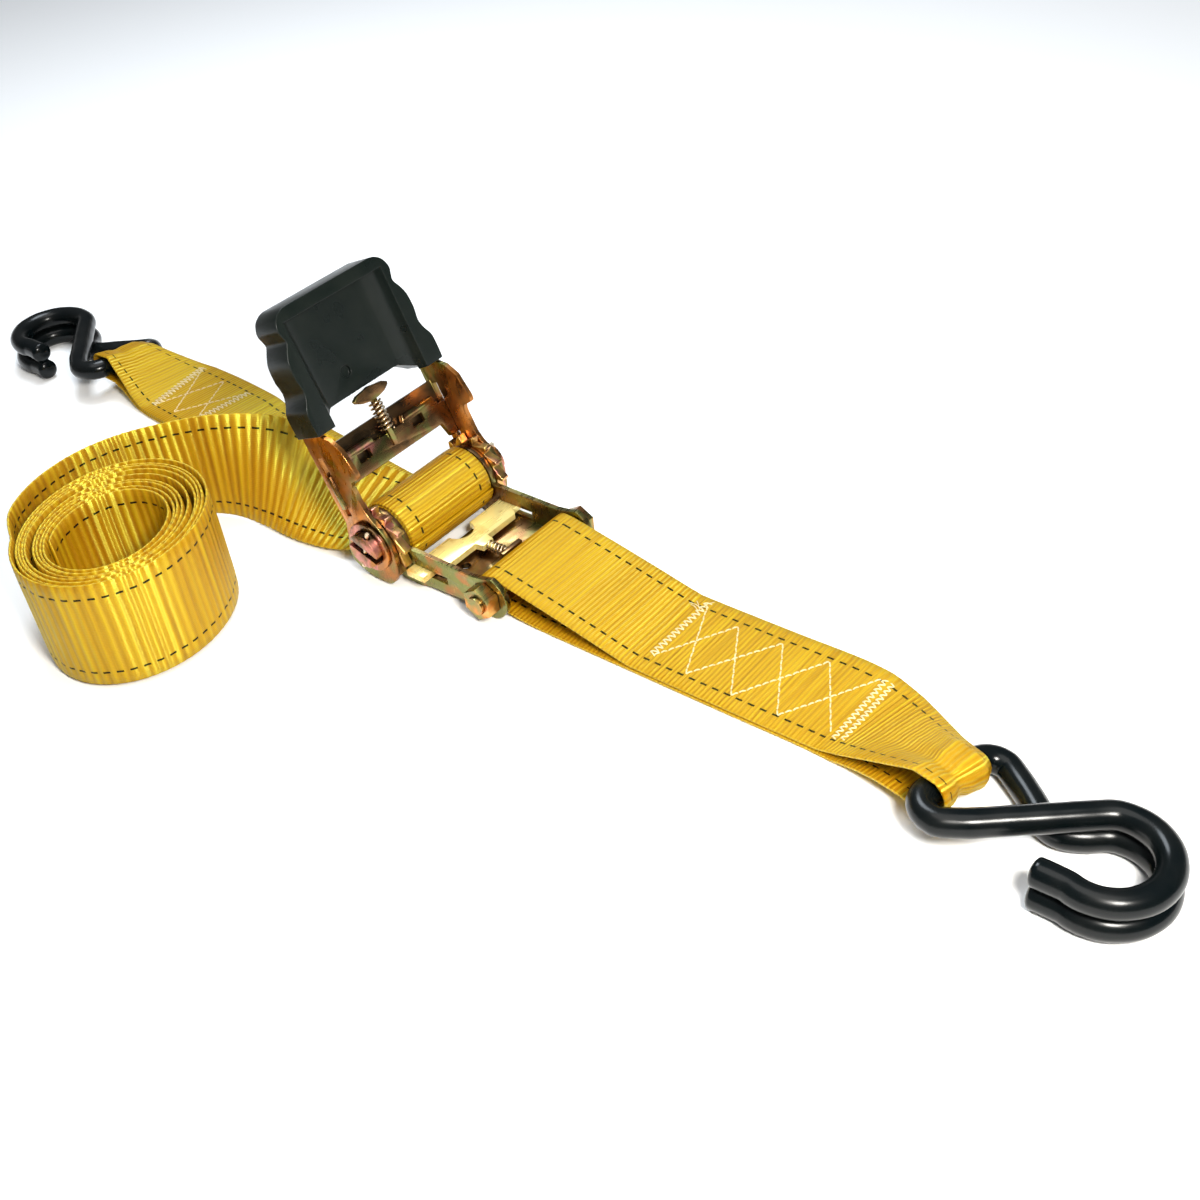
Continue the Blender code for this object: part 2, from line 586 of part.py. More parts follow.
def hook_strap():
    """Part of the long strap between the spindle and its hook, with the sewn fold."""
    path = smooth_path([(-4, 0.3, 3.0, 50, 0), (-16, 1.4, 2.5, 50, 5), (-30, 3.2, 1.5, 50, 7),
                        (-60, 7, 1.1, 50, 7), (-110, 13.2, 1.1, 50, 7), (-148, 17.8, 1.3, 50, 7),
                        (-160, 19.2, 2.95, 50, 6), (-190, 22.2, 2.95, 50, 5), (-214, 24, 3.3, 48, 3),
                        (-230, 23.4, 9.6, 40, 0), (-243.5, 21.2, 18.2, 31, -5)], 4)
    back = smooth_path([(-244, 21.2, 4.8, 31, -5), (-231, 23.4, 3.7, 40, 0), (-214, 24, 1.2, 48, 3),
                        (-190, 22.2, 1.1, 50, 5), (-166, 19.9, 1.1, 50, 6)], 4)
    stations = []
    for x, y, z, width, turn in path:
        tilt = EYE_TILT * max(0.0, min(1.0, (-x - 212) / 34))
        stations.append(level_station(x, y, z, width, math.radians(-turn), tilt))
    for a in range(60, -61, -20):
        c = math.cos(math.radians(a))
        x = LONG_EYE[0] - EYE_LOOP * c + 0.4
        y = LONG_EYE[1] - EYE_OFFSET - 0.09 * EYE_LOOP * c
        z = LONG_EYE[2] + EYE_LOOP * math.sin(math.radians(a)) + 0.35
        stations.append(level_station(x, y, z, 30, math.radians(5), EYE_TILT))
    for x, y, z, width, turn in back:
        tilt = EYE_TILT * max(0.0, min(1.0, (-x - 218) / 28))
        stations.append(level_station(x, y, z, width, math.radians(-turn), tilt))
    return ribbon("hook_strap", stations, WEB_THICK, WEBBING)


def coil_radius(angle, long_axis, short_axis):
    """Radius of an ellipse whose long axis points along 120 degrees."""
    a = angle - math.radians(120)
    return long_axis * short_axis / math.hypot(short_axis * math.cos(a), long_axis * math.sin(a))


def tail_strap():
    """Loose end: leaves the spindle flat, turns onto its edge and ends in a standing coil."""
    edges = [(-9, -25, 5.1, -9, 25, 5.1), (-16, -25.4, 4.6, -17, 24.5, 5.6), (-24, -30, 4.0, -29, 19.2, 11),
             (-36, -34, 3.0, -43, 13.5, 17), (-55, -36, 2.2, -62, 5, 30), (-75, -35.5, 1.6, -80, -11, 45),
             (-95, -37, 1.3, -97, -29.5, 50.8), (-111.5, -46, 1.2, -111.5, -46, 51.2),
             (-123.5, -65, 1.2, -123.5, -65, 51.2), (-128.5, -86, 1.2, -128.5, -86, 51.2),
             (-125.5, -108, 1.2, -125.5, -108, 51.2), (-114.5, -127, 1.2, -114.5, -127, 51.2)]
    turns = 7
    per_turn = 36
    start = math.radians(232)
    coil = []
    for i in range(turns * per_turn + 1):
        a = start + 2 * math.pi * i / per_turn
        inward = i / (turns * per_turn)
        cx = -71.4 + 4.8 * inward
        cy = -106.4 - 5.6 * inward
        r = (1 - inward) * coil_radius(a, 46, 39.5) + inward * coil_radius(a, 26.2, 22.7)
        x = cx + r * math.cos(a)
        y = cy + r * math.sin(a)
        coil.append((x, y, 1.2, x, y, 51.2))
    path = smooth_path(edges + coil[:1], 3)[:-1] + coil
    stations = [((p[0], p[1], p[2]), (p[3], p[4], p[5])) for p in path]
    return ribbon("tail_strap", stations, WEB_THICK - 0.1, WEBBING)


base_frame()
anchor_bolt()
lock_pawl()
coil_spring("lock_spring", (33.6, 0, 9.0), (1, 0, 0), 11.2, 2.1, 0.4, 6)
spindle()
ratchet_wheel("ratchet_wheel_near", -WHEEL_OUT)
ratchet_wheel("ratchet_wheel_far", WHEEL_IN)
wound_webbing()
handle_frame()
handle_grip()
drive_pawl()
drive_spring()
fixed_strap()
hook("fixed_hook", FIXED_EYE, FIXED_HEAD)
hook_strap()
hook("long_hook", LONG_EYE, LONG_HEAD)
tail_strap()
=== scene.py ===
"""Looks of the ratchet tie down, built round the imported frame.

Shapes are laid out in millimetres from a point under the middle of the spindle, as
the CAD is, and `world` turns them into metres in the frame, whose origin is the foot
under the ratchet's floor.
"""
import math

import bmesh
import bpy
import numpy as np
from mathutils import Matrix, Vector

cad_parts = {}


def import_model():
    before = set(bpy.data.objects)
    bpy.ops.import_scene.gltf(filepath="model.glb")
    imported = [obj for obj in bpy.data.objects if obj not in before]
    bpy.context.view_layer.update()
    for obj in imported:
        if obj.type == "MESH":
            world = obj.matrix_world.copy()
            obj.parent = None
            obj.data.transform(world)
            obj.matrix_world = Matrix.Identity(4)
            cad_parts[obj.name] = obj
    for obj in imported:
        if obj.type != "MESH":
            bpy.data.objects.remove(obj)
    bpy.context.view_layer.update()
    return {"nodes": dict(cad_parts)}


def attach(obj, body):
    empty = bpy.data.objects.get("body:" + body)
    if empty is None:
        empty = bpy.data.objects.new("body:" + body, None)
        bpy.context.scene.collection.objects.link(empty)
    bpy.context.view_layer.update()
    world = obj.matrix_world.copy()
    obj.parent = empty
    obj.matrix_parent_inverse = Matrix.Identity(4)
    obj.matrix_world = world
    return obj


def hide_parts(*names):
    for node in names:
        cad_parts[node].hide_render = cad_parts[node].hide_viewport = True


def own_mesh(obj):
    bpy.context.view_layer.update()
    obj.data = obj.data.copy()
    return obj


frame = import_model()

TAU = 2 * math.pi

# layout, in millimetres and radians: place of the foot, axis of the spindle, and lean of the
# handle and of the webbing in a hook's eye
FOOT_X = 33.0
SPINDLE = Vector((0.0, 0.0, 19.0))
HANDLE_TILT = math.radians(-22)
EYE_TILT = math.atan(7.0 / 30.0)

# webbing, in millimetres; the fine and the loose weave differ in the pitch of their ribs,
# and MAP_LENGTH is the length of webbing in one unit of its map
WEB_WIDTH = 50.0
WEB_THICK = 1.4
THIN_WEB = 1.25
FINE_RIB = 1.9
LOOSE_RIB = 3.9
YARN_PITCH = 0.85
MAP_LENGTH = 100.0
RIB_SEED = 7

# dashed tracer lines: distance from the middle and half width as shares of the webbing's
# width, pitch of the dashes in millimetres and the dark share of each
TRACER_PLACE = 0.373
TRACER_HALF = 0.0095
DASH_PITCH = 5.4
DASH_SHARE = 0.54

# plating, in metres: half widths of the middle between the sides of the frame and of the handle,
# painted darker as painted shade, and the heights between which the tone of the handle's foot
# fades out
FRAME_PAINTED_SHADE_HALF_WIDTH = 0.0278
HANDLE_PAINTED_SHADE_HALF_WIDTH = 0.0332
FOOT_HEIGHTS = (0.024, 0.046)

# standing coil of the loose end, in millimetres and degrees: an oval that drifts while it
# shrinks from outer to inner, one of COIL_STEPS to a turn, and the heights of its edges
COIL_CENTRE = (-71.4, -106.4)
COIL_DRIFT = (4.8, -5.6)
COIL_OUTER = (46, 39.5)
COIL_INNER = (26.4, 22.9)
COIL_LEAN = 120
COIL_START = 232
COIL_PER_TURN = 72
COIL_EDGES = (1.2, 51.2)
COIL_STEPS = [0.0, 0.155, 0.235, 0.31, 0.385, 0.60, 0.69, 0.78, 0.87, 1.0]

# layers wound on the spindle, in millimetres and degrees
ROLL_RADII = (9.1, 14.75)
ROLL_TURNS = 4.4
ROLL_PER_TURN = 48
ROLL_START = -150
ROLL_HALF_WIDTH = 24.7

# webbing round the eye of a hook and round the anchor bolt, in millimetres
EYE_WIDTH = 30
EYE_HEIGHT = 11.95
EYE_RADIUS = 7
BOLT_X, BOLT_Z = 58, 10.5
BOLT_LOOP = 7.7

# radius of the hooks' wire with its coat, in millimetres; points in one turn of a spring
HOOK_RADIUS = 5.08
SPRING_PER_TURN = 24

# sewing thread, in millimetres
THREAD_RADIUS = 0.30
STITCH_PITCH = 3.1
STITCH_GAP = 0.55
STITCH_WOBBLE = 0.12

# refined CAD pieces: points closer than SAME_POINT metres are one, edges flatter than
# FLAT_EDGE degrees go, and edges flatter than SMOOTH_EDGE degrees are shaded smooth
SAME_POINT = 0.000002
FLAT_EDGE = 0.5
SMOOTH_EDGE = 28


def world(p):
    """A layout point in the frame's metres."""
    return Vector(((p[0] - FOOT_X) * 0.001, p[1] * 0.001, p[2] * 0.001))


# ---------------------------------------------------------------- camera and light
def camera():
    """Seen from the near right, 38.6 degrees above the floor, slightly rolled."""
    elevation, azimuth, roll = math.radians(38.58), math.radians(46.92), math.radians(-7.39)
    back = Vector((math.cos(azimuth) * math.cos(elevation),
                   -math.sin(azimuth) * math.cos(elevation), math.sin(elevation)))
    right = Vector((math.sin(azimuth), math.cos(azimuth), 0.0))
    up = back.cross(right)
    side = right * math.cos(roll) + up * math.sin(roll)
    top = up * math.cos(roll) - right * math.sin(roll)
    data = bpy.data.cameras.new("camera")
    data.lens = 43.94
    data.sensor_width = 36.0
    data.clip_start = 0.01
    obj = bpy.data.objects.new("camera", data)
    turn = Matrix((side, top, back)).transposed().to_4x4()
    obj.matrix_world = Matrix.Translation((0.3805, -0.3421, 0.3777)) @ turn
    bpy.context.scene.collection.objects.link(obj)
    bpy.context.scene.camera = obj


def area_light(name, position, target, size, power, color):
    """Round lamp aimed at a target."""
    data = bpy.data.lights.new(name, "AREA")
    data.shape = "DISK"
    data.size = size
    data.energy = power
    data.color = color
    obj = bpy.data.objects.new(name, data)
    obj.location = position
    aim = Vector(target) - Vector(position)
    obj.rotation_euler = aim.to_track_quat("-Z", "Y").to_euler()
    bpy.context.scene.collection.objects.link(obj)


def studio():
    """White floor, three lamps, and a sky pale at the horizon and dark just above it."""
    bpy.context.scene.view_settings.view_transform = "Standard"
    scene_world = bpy.data.worlds.new("studio")
    scene_world.use_nodes = True
    tree = scene_world.node_tree
    coord = tree.nodes.new("ShaderNodeTexCoord")
    split = tree.nodes.new("ShaderNodeSeparateXYZ")
    ramp = tree.nodes.new("ShaderNodeValToRGB")
    tree.links.new(coord.outputs["Generated"], split.inputs[0])
    tree.links.new(split.outputs["Z"], ramp.inputs[0])
    elements = ramp.color_ramp.elements
    elements[0].color = (0.95, 0.95, 0.96, 1.0)
    elements[1].position = 0.9
    elements[1].color = (0.62, 0.66, 0.72, 1.0)
    for place, gray in ((0.12, 0.85), (0.24, 0.20)):
        elements.new(place).color = (gray, gray, gray, 1.0)
    background = tree.nodes["Background"]
    tree.links.new(ramp.outputs[0], background.inputs["Color"])
    background.inputs["Strength"].default_value = 0.42
    bpy.context.scene.world = scene_world
    area_light("key", (0.50, -0.25, 0.47), (0.0, -0.02, 0.0),
               size=0.16, power=7.4, color=(1.0, 0.97, 0.91))
    area_light("window", (-0.42, 0.30, 0.95), (0.0, 0.0, 0.0),
               size=0.45, power=8.0, color=(0.84, 0.92, 1.0))
    area_light("overhead", (0.10, -0.10, 1.6), (0.0, 0.0, 0.0),
               size=1.2, power=9.0, color=(1.0, 0.99, 0.96))
    bpy.ops.mesh.primitive_plane_add(size=8.0, location=(0.0, 0.0, -0.0003))
    floor = bpy.context.object
    floor.name = "floor"
    paint = Look("floor_paint")
    paint.set("Base Color", (0.97, 0.97, 0.97, 1.0))
    paint.set("Roughness", 0.9)
    floor.data.materials.append(paint.mat)


# ---------------------------------------------------------------- material nodes
class Look:
    """A node material with short helpers for the graphs used here."""

    def __init__(self, name):
        self.mat = bpy.data.materials.new(name)
        self.mat.use_nodes = True
        self.tree = self.mat.node_tree
        self.shader = self.tree.nodes["Principled BSDF"]

    def node(self, kind, **settings):
        made = self.tree.nodes.new(kind)
        for key, value in settings.items():
            setattr(made, key, value)
        return made

    def feed(self, socket, value):
        """Links an output to the socket, or sets the socket to a constant."""
        if isinstance(value, bpy.types.NodeSocket):
            self.tree.links.new(value, socket)
        else:
            socket.default_value = value

    def set(self, name, value):
        self.feed(self.shader.inputs[name], value)

    def stretched(self, vector, scale):
        made = self.node("ShaderNodeMapping")
        made.inputs["Scale"].default_value = scale
        self.feed(made.inputs["Vector"], vector)
        return made.outputs[0]

    def math(self, operation, a, b=0.0, c=0.0):
        made = self.node("ShaderNodeMath", operation=operation)
        for socket, value in zip(made.inputs, (a, b, c)):
            self.feed(socket, value)
        return made.outputs[0]

    def position(self, scale=(1.0, 1.0, 1.0)):
        return self.stretched(self.node("ShaderNodeTexCoord").outputs["Object"], scale)

    def distance(self, value, centre):
        return self.math("ABSOLUTE", self.math("SUBTRACT", value, centre))

    def noise(self, vector, scale, detail, distortion=0.0):
        made = self.node("ShaderNodeTexNoise")
        self.feed(made.inputs["Vector"], vector)
        made.inputs["Scale"].default_value = scale
        made.inputs["Detail"].default_value = detail
        made.inputs["Distortion"].default_value = distortion
        return made.outputs[0]

    def ramp(self, factor, stops):
        made = self.node("ShaderNodeValToRGB")
        self.feed(made.inputs[0], factor)
        elements = made.color_ramp.elements
        while len(elements) < len(stops):
            elements.new(0.5)
        for element, (place, color) in zip(elements, stops):
            element.position = place
            element.color = (*color, 1.0)
        return made.outputs[0]

    def mix(self, factor, a, b):
        """Colour mix; sockets 6 and 7 are its colours A and B, output 2 its colour."""
        made = self.node("ShaderNodeMix", data_type="RGBA")
        self.feed(made.inputs[0], factor)
        for socket, value in ((made.inputs[6], a), (made.inputs[7], b)):
            is_socket = isinstance(value, bpy.types.NodeSocket)
            self.feed(socket, value if is_socket else (*value, 1.0))
        return made.outputs[2]

    def span(self, value, low, high, out_low, out_high):
        made = self.node("ShaderNodeMapRange")
        for socket, number in zip(made.inputs, (value, low, high, out_low, out_high)):
            self.feed(socket, number)
        return made.outputs[0]

    def bump(self, height, strength, distance):
        made = self.node("ShaderNodeBump")
        made.inputs["Strength"].default_value = strength
        made.inputs["Distance"].default_value = distance
        self.feed(made.inputs["Height"], height)
        self.set("Normal", made.outputs[0])


def webbing_look(name, pitch, dark, middle, light):
    """Ribbed polyester webbing; the map runs across (0-1) and along (MAP_LENGTH per unit)."""
    look = Look(name)
    lay = look.node("ShaderNodeUVMap", uv_map="lay")
    split = look.node("ShaderNodeSeparateXYZ")
    look.feed(split.inputs[0], lay.outputs[0])
    across, along = split.outputs[0], split.outputs[1]
    # ribs across the webbing, which sway a little, yarns along it, streaks and flecks
    sway = look.noise(lay.outputs[0], 2.2, 1.0)
    turn = look.math("MULTIPLY_ADD", along, MAP_LENGTH * TAU / pitch,
                     look.math("MULTIPLY", sway, 2.2))
    rib = look.math("SINE", turn)
    yarn = look.math("SINE", look.math("MULTIPLY", across, WEB_WIDTH * TAU / YARN_PITCH))
    streak = look.noise(look.stretched(lay.outputs[0], (0.5, 150.0 / pitch, 1.0)), 1.0, 3.0)
    fleck = look.noise(look.stretched(lay.outputs[0], (55.0, 130.0, 1.0)), 1.0, 2.0)
    # painted highlight and shade: the rib term lightens the colour on the ribs' tops and darkens
    # it in the grooves between them
    tone = look.math("MULTIPLY_ADD", rib, 0.10, streak)
    tone = look.math("MULTIPLY_ADD", look.math("SUBTRACT", fleck, 0.5), 0.30, tone)
    color = look.ramp(tone, [(0.20, dark), (0.50, middle), (0.80, light)])
    from_middle = look.distance(across, 0.5)
    row = look.math("LESS_THAN", look.distance(from_middle, TRACER_PLACE), TRACER_HALF)
    beat = look.math("FRACT", look.math("MULTIPLY", along, MAP_LENGTH / DASH_PITCH))
    dash = look.math("LESS_THAN", beat, DASH_SHARE)
    tracer = look.math("MULTIPLY", row, dash)
    look.set("Base Color", look.mix(tracer, color, (0.006, 0.005, 0.004)))
    tangent = look.node("ShaderNodeTangent", direction_type="UV_MAP", uv_map="lay")
    look.set("Tangent", tangent.outputs[0])
    look.set("Anisotropic", 0.97)
    look.set("Roughness", look.span(fleck, 0.3, 0.7, 0.36, 0.50))
    look.set("IOR", 1.9)
    look.set("Specular IOR Level", look.math("MULTIPLY_ADD", tracer, -0.8, 0.92))
    look.set("Specular Tint", (0.82, 1.0, 0.14, 1.0))
    height = look.math("MULTIPLY_ADD", yarn, 0.22, rib)
    height = look.math("MULTIPLY_ADD", fleck, 0.8, height)
    look.bump(height, 0.55, 0.00016)
    return look.mat


def plated_look(name, stops, rough=(0.22, 0.40), scale=48.0, metal=1.0, shade=None, foot=0.0):
    """Yellow zinc plating: patches of interference colour, fine scratches, soft pits.

    shade is (half width in metres, colour stops) for painted shade, darker stops painted on the
    middle between two sides; foot moves the tone towards the first colours below the heights in
    FOOT_HEIGHTS.
    """
    look = Look(name)
    patches = look.noise(look.position(), scale, 3.0, 0.6)
    cloud = look.noise(look.position(), scale * 4.3, 2.0)
    tone = look.math("MULTIPLY_ADD", look.math("SUBTRACT", cloud, 0.5), 0.35, patches)
    split = look.node("ShaderNodeSeparateXYZ")
    look.feed(split.inputs[0], look.position())
    if foot:
        lowered = look.span(split.outputs[2], *FOOT_HEIGHTS, foot, 0.0)
        tone = look.math("SUBTRACT", tone, lowered)
    color = look.ramp(tone, stops)
    if shade:
        # painted shade: inside the half width, between the two sides, the darker stops replace the
        # plating's own colours
        middle = look.math("LESS_THAN", look.math("ABSOLUTE", split.outputs[1]), shade[0])
        color = look.mix(middle, color, look.ramp(tone, shade[1]))
    look.set("Base Color", color)
    scratch = look.noise(look.position((420.0, 45.0, 150.0)), 1.0, 2.0)
    pits = look.noise(look.position(), 800.0, 2.0)
    look.set("Metallic", metal)
    look.set("Roughness", look.span(scratch, 0.3, 0.7, *rough))
    look.bump(look.math("MULTIPLY_ADD", pits, 0.6, scratch), 0.14, 0.00005)
    return look.mat


def moulded_look(name, low, high, rough, grain, depth, gloss):
    """Black moulded rubber or dipped vinyl with a fine grain."""
    look = Look(name)
    patches = look.noise(look.position(), 60.0, 3.0)
    look.set("Base Color", look.ramp(patches, [(0.35, low), (0.68, high)]))
    look.set("Roughness", look.span(patches, 0.3, 0.7, *rough))
    look.set("Specular IOR Level", gloss)
    look.bump(look.noise(look.position(), grain, 1.0), 0.16, depth)
    return look.mat


def thread_look():
    """Pale sewing thread."""
    look = Look("thread")
    twist = look.noise(look.position(), 2600.0, 2.0)
    look.set("Base Color", look.ramp(twist, [(0.3, THREAD_DARK), (0.62, THREAD_PALE)]))
    look.set("Roughness", 0.5)
    look.bump(twist, 0.5, 0.0001)
    return look.mat


def spring_look():
    """Bright spring wire with a warm tint."""
    look = Look("spring_wire")
    patches = look.noise(look.position(), 220.0, 2.0)
    look.set("Base Color", look.ramp(patches, [(0.35, WIRE_DARK), (0.65, WIRE_PALE)]))
    look.set("Metallic", 1.0)
    look.set("Roughness", look.span(patches, 0.3, 0.7, 0.20, 0.34))
    look.bump(look.noise(look.position(), 3000.0, 2.0), 0.2, 0.00004)
    return look.mat


OLIVE = (0.20, 0.20, 0.065)
BRONZE = (0.14, 0.085, 0.040)
# dark brown of the painted shade on the handle's cross plate
PAINTED_SHADE_BROWN = (0.060, 0.045, 0.028)
UMBER = (0.24, 0.13, 0.055)
BROWN = (0.34, 0.155, 0.055)
ORANGE = (0.56, 0.215, 0.048)
GOLD = (0.72, 0.46, 0.13)
PALE = (0.93, 0.78, 0.30)
PINK = (0.52, 0.20, 0.16)
WEB_COLORS = ((0.26, 0.082, 0.002), (0.41, 0.180, 0.003), (0.50, 0.295, 0.006))
THREAD_DARK, THREAD_PALE = (0.50, 0.38, 0.15), (0.78, 0.68, 0.42)
WIRE_DARK, WIRE_PALE = (0.42, 0.29, 0.16), (0.74, 0.62, 0.44)

WEB_FINE = webbing_look("webbing_fine_rib", FINE_RIB, *WEB_COLORS)
WEB_LOOSE = webbing_look("webbing_loose", LOOSE_RIB, *WEB_COLORS)
# the frame's middle between its side plates takes darker bronze and umber stops as painted shade
FRAME_LOOK = plated_look(
    "plated_frame",
    [(0.33, ORANGE), (0.41, BROWN), (0.47, OLIVE), (0.60, OLIVE), (0.70, BROWN)], scale=26.0,
    shade=(FRAME_PAINTED_SHADE_HALF_WIDTH, [(0.34, BRONZE), (0.48, UMBER), (0.62, OLIVE), (0.72, BROWN)]))
# the handle's middle, its cross plate between the side plates, takes near-black stops as painted
# shade
HANDLE_LOOK = plated_look(
    "plated_handle", [(0.32, OLIVE), (0.43, BROWN), (0.55, ORANGE), (0.70, BROWN)], scale=30.0,
    shade=(HANDLE_PAINTED_SHADE_HALF_WIDTH, [(0.36, PAINTED_SHADE_BROWN), (0.50, BRONZE), (0.60, PAINTED_SHADE_BROWN), (0.74, PINK)]), foot=0.13)
SPINDLE_LOOK = plated_look(
    "plated_spindle", [(0.34, ORANGE), (0.48, BROWN), (0.56, PINK), (0.68, BRONZE)])
WHEEL_LOOK = plated_look(
    "plated_wheel", [(0.34, BROWN), (0.50, GOLD), (0.62, PINK), (0.72, BROWN)])
BOLT_LOOK = plated_look(
    "plated_bolt", [(0.34, BROWN), (0.46, OLIVE), (0.58, ORANGE), (0.72, GOLD)])
PAWL_LOOK = plated_look(
    "plated_pawl", [(0.32, BRONZE), (0.44, UMBER), (0.56, OLIVE), (0.70, PINK)],
    rough=(0.18, 0.32))
LOCK_LOOK = plated_look(
    "plated_lock", [(0.30, GOLD), (0.44, PALE), (0.66, PALE), (0.78, GOLD)],
    rough=(0.24, 0.36), metal=0.5)
SPRING_LOOK = spring_look()
GRIP_LOOK = moulded_look(
    "grip_rubber", low=(0.004, 0.007, 0.006), high=(0.007, 0.010, 0.008),
    rough=(0.26, 0.33), grain=340.0, depth=0.00004, gloss=0.27)
VINYL_LOOK = moulded_look(
    "dipped_vinyl", low=(0.001, 0.0025, 0.003), high=(0.004, 0.005, 0.005),
    rough=(0.17, 0.27), grain=160.0, depth=0.00012, gloss=0.22)
THREAD_LOOK = thread_look()


# ---------------------------------------------------------------- piece helpers
def piece(name, mesh, mat, body, slot, *nodes):
    """A visible piece that rides on a body, in place of the nodes given."""
    mesh.materials.clear()
    mesh.materials.append(mat)
    obj = bpy.data.objects.new(name, mesh)
    bpy.context.scene.collection.objects.link(obj)
    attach(obj, body)
    if nodes:
        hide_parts(*nodes)
    return obj


def smooth(mesh):
    mesh.polygons.foreach_set("use_smooth", [True] * len(mesh.polygons))


def bake_modifiers(obj):
    """Make the shape the modifiers give the object's own mesh."""
    bpy.context.view_layer.update()
    graph = bpy.context.evaluated_depsgraph_get()
    done = bpy.data.meshes.new_from_object(obj.evaluated_get(graph))
    obj.modifiers.clear()
    obj.data = done


def refine(node, mat, body, slot, edge, segments=2, angle=35):
    """A CAD node again, with its sharp edges rounded by edge millimetres."""
    mesh = frame["nodes"][node].data.copy()
    bm = bmesh.new()
    bm.from_mesh(mesh)
    bmesh.ops.remove_doubles(bm, verts=bm.verts, dist=SAME_POINT)
    bmesh.ops.dissolve_limit(bm, angle_limit=math.radians(FLAT_EDGE), verts=bm.verts,
                             edges=bm.edges)
    bm.to_mesh(mesh)
    bm.free()
    obj = piece(node + "_shape", mesh, mat, body, slot, node)
    mod = obj.modifiers.new("edges", "BEVEL")
    mod.width = edge * 0.001
    mod.segments = segments
    mod.limit_method = "ANGLE"
    mod.angle_limit = math.radians(angle)
    mod.harden_normals = False
    bake_modifiers(obj)
    smooth(obj.data)
    obj.data.set_sharp_from_angle(angle=math.radians(SMOOTH_EDGE))


def spline(rows, per_span):
    """Catmull-Rom curve through rows of numbers."""
    rows = np.asarray(rows, float)
    ahead = np.vstack([rows[1:], rows[-1:]])
    behind = np.vstack([rows[:1], rows[:-1]])
    out = []
    for i in range(len(rows) - 1):
        p0, p1, p2, p3 = behind[i], rows[i], rows[i + 1], ahead[i + 1]
        for k in range(per_span):
            t = k / per_span
            out.append(0.5 * (2 * p1 + (p2 - p0) * t + (2 * p0 - 5 * p1 + 4 * p2 - p3) * t * t
                              + (3 * p1 - p0 - 3 * p2 + p3) * t ** 3))
    out.append(rows[-1])
    return np.array(out)


def spaced(rows, step, edges=False):
    """The same curve at even steps of its points, or of the middle of its two edges."""
    rows = np.asarray(rows, float)
    line = 0.5 * (rows[:, :3] + rows[:, 3:6]) if edges else rows[:, :3]
    length = np.concatenate([[0.0], np.cumsum(np.linalg.norm(np.diff(line, axis=0), axis=1))])
    count = max(2, int(round(length[-1] / step)) + 1)
    at = np.linspace(0.0, length[-1], count)
    return np.column_stack([np.interp(at, length, column) for column in rows.T]), at


def wall(count, size, closed=False):
    """Quads between count rings of size points each."""
    spans = count if closed else count - 1
    i = np.repeat(np.arange(spans), size)
    k = np.tile(np.arange(size), spans)
    after, beside = (i + 1) % count, (k + 1) % size
    return np.column_stack([i * size + k, i * size + beside, after * size + beside,
                            after * size + k])


def ends(count, size):
    """The two faces that close the first and the last ring."""
    return [list(range(size))[::-1], list(range((count - 1) * size, count * size))]


def mesh_from_rings(name, rings, closed=False, uv=None):
    """Skin over rings of equal size; uv gives a (u, v) for every ring point."""
    count, size = rings.shape[:2]
    points = np.array([world(p) for p in rings.reshape(-1, 3)])
    quads = wall(count, size, closed)
    faces = quads.tolist() + ([] if closed else ends(count, size))
    mesh = bpy.data.meshes.new(name)
    mesh.from_pydata(points.tolist(), [], faces)
    if uv is not None:
        layer = mesh.uv_layers.new(name="lay")
        corners = uv.reshape(-1, 2)[quads.ravel()].copy()
        if closed:
            # the last quads run on in length instead of back to the first ring's
            last = quads.shape[0] - size
            wrap = corners.reshape(-1, 4, 2)
            wrap[last:, 2:, 1] += uv[-1, 0, 1] + (uv[1, 0, 1] - uv[0, 0, 1])
        end_corners = np.zeros((len(mesh.loops) - len(corners), 2))
        layer.data.foreach_set("uv", np.vstack([corners, end_corners]).ravel())
    bm = bmesh.new()
    bm.from_mesh(mesh)
    bmesh.ops.recalc_face_normals(bm, faces=bm.faces)
    bm.to_mesh(mesh)
    bm.free()
    smooth(mesh)
    return mesh


def strap_surface(stations, step, closed=False):
    """Even stations of a strap: its two edges, normal, length so far and fold depth."""
    rows, at = spaced(stations, step, edges=True)
    if closed:
        rows, at = rows[:-1], at[:-1]
    left, right = rows[:, :3], rows[:, 3:6]
    middle = 0.5 * (left + right)
    if closed:
        along = np.roll(middle, -1, axis=0) - np.roll(middle, 1, axis=0)
    else:
        along = np.gradient(middle, axis=0)
    across = right - left
    across /= np.linalg.norm(across, axis=1)[:, None]
    normal = np.cross(along, across)
    normal /= np.linalg.norm(normal, axis=1)[:, None]
    return left, right, normal, at, rows[:, 6]


def wander(rng, at, step, spare, low, high):
    """A random value every step along a strap, and what lies between them."""
    places = np.arange(0, at[-1] + spare, step)
    return np.interp(at, places, rng.uniform(low, high, len(places)))


